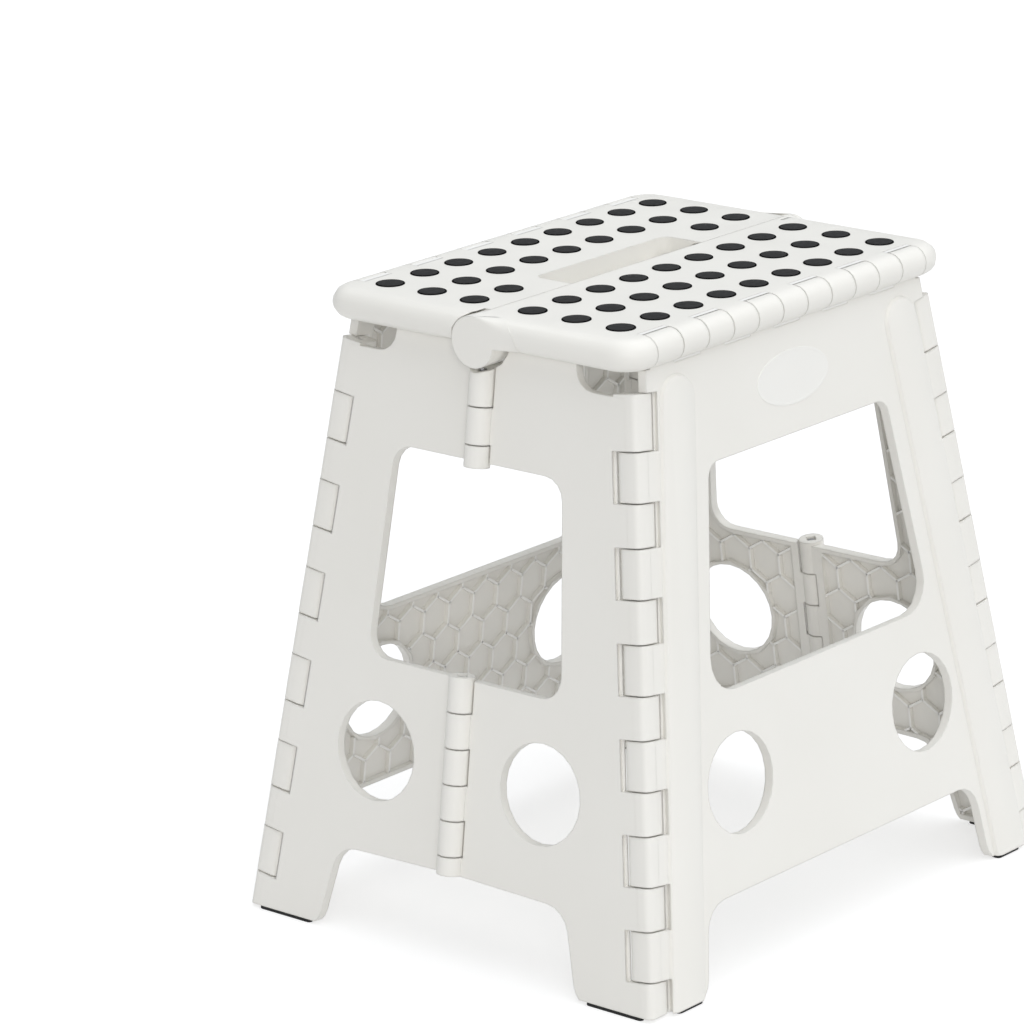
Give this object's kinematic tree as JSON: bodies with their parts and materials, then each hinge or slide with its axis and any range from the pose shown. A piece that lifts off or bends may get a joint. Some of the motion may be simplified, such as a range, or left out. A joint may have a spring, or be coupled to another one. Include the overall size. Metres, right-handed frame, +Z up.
{
  "type": "folding step stool",
  "caption": "Folding plastic step stool: hinged seat halves with anti-slip dots and a carrying handle, on slanted leg panels and side halves that fold flat along knuckled corners.",
  "frame": {"origin": "on the floor under the middle of the open stool", "axes": "+X along the seat's centre seam, -Y towards the front leg panel, +Z up"},
  "size_m": [0.388, 0.3264, 0.3905],
  "materials": {
    "white_plastic": "satin moulded",
    "black_rubber": "matte",
    "steel_pin": "drawn"
  },
  "bodies": {
    "front_leg": {"front_leg_panel": "white_plastic", "front_leg_pad_left": "black_rubber", "front_leg_pad_right": "black_rubber", "corner_pin_front_left": "steel_pin", "corner_pin_front_right": "steel_pin", "seat_pin_front": "steel_pin"},
    "left_front": {"left_front_side": "white_plastic", "left_front_side_pad": "black_rubber", "end_pin_left_lower": "steel_pin", "end_pin_left_upper": "steel_pin"},
    "left_rear": {"left_rear_side": "white_plastic", "left_rear_side_pad": "black_rubber"},
    "rear_leg": {"rear_leg_panel": "white_plastic", "rear_leg_pad_left": "black_rubber", "rear_leg_pad_right": "black_rubber", "corner_pin_rear_left": "steel_pin", "corner_pin_rear_right": "steel_pin", "seat_pin_rear": "steel_pin"},
    "right_front": {"right_front_side": "white_plastic", "right_front_side_pad": "black_rubber"},
    "right_rear": {"right_rear_side": "white_plastic", "right_rear_side_pad": "black_rubber", "end_pin_right_lower": "steel_pin", "end_pin_right_upper": "steel_pin"},
    "front_seat": {"front_seat_half": "white_plastic", "carrying_handle": "white_plastic", "seam_pin_left": "steel_pin", "seam_pin_right": "steel_pin"},
    "rear_seat": {"rear_seat_half": "white_plastic"}
  },
  "joints": [
    {"name": "left_front_corner", "type": "hinge", "parent": "front_leg", "child": "left_front", "pos_m": [-0.18406, -0.15072, 0], "axis": [-0.1391, -0.1255, -0.9823], "range_deg": [0, 89]},
    {"name": "left_end", "type": "hinge", "parent": "left_front", "child": "left_rear", "pos_m": [-0.19385, 0, 0], "axis": [0.1402, 0, 0.9901], "range_deg": [0, 176.01]},
    {"name": "left_rear_corner", "type": "hinge", "parent": "left_rear", "child": "rear_leg", "pos_m": [-0.18406, 0.15072, 0], "axis": [-0.1391, 0.1255, -0.9823], "range_deg": [0, 89]},
    {"name": "right_front_corner", "type": "hinge", "parent": "front_leg", "child": "right_front", "pos_m": [0.18406, -0.15072, 0], "axis": [-0.1391, 0.1255, 0.9823], "range_deg": [0, 89]},
    {"name": "right_rear_corner", "type": "hinge", "parent": "rear_leg", "child": "right_rear", "pos_m": [0.18406, 0.15072, 0], "axis": [0.1391, 0.1255, -0.9823], "range_deg": [0, 89]},
    {"name": "front_seat_hinge", "type": "hinge", "parent": "front_leg", "child": "front_seat", "pos_m": [0, -0.11025, 0.38025], "axis": [1, 0, 0], "range_deg": [0, 75.8]},
    {"name": "rear_seat_hinge", "type": "hinge", "parent": "rear_leg", "child": "rear_seat", "pos_m": [0, 0.11025, 0.38025], "axis": [-1, 0, 0], "range_deg": [0, 75.8]}
  ],
  "couplings": [
    {"joint": "left_end", "follows": "left_front_corner", "ratio": 1.9776},
    {"joint": "left_rear_corner", "follows": "left_front_corner", "ratio": 1},
    {"joint": "right_front_corner", "follows": "left_front_corner", "ratio": 1},
    {"joint": "right_rear_corner", "follows": "left_front_corner", "ratio": 1},
    {"joint": "front_seat_hinge", "follows": "left_front_corner", "ratio": 0.8517},
    {"joint": "rear_seat_hinge", "follows": "left_front_corner", "ratio": 0.8517}
  ]
}
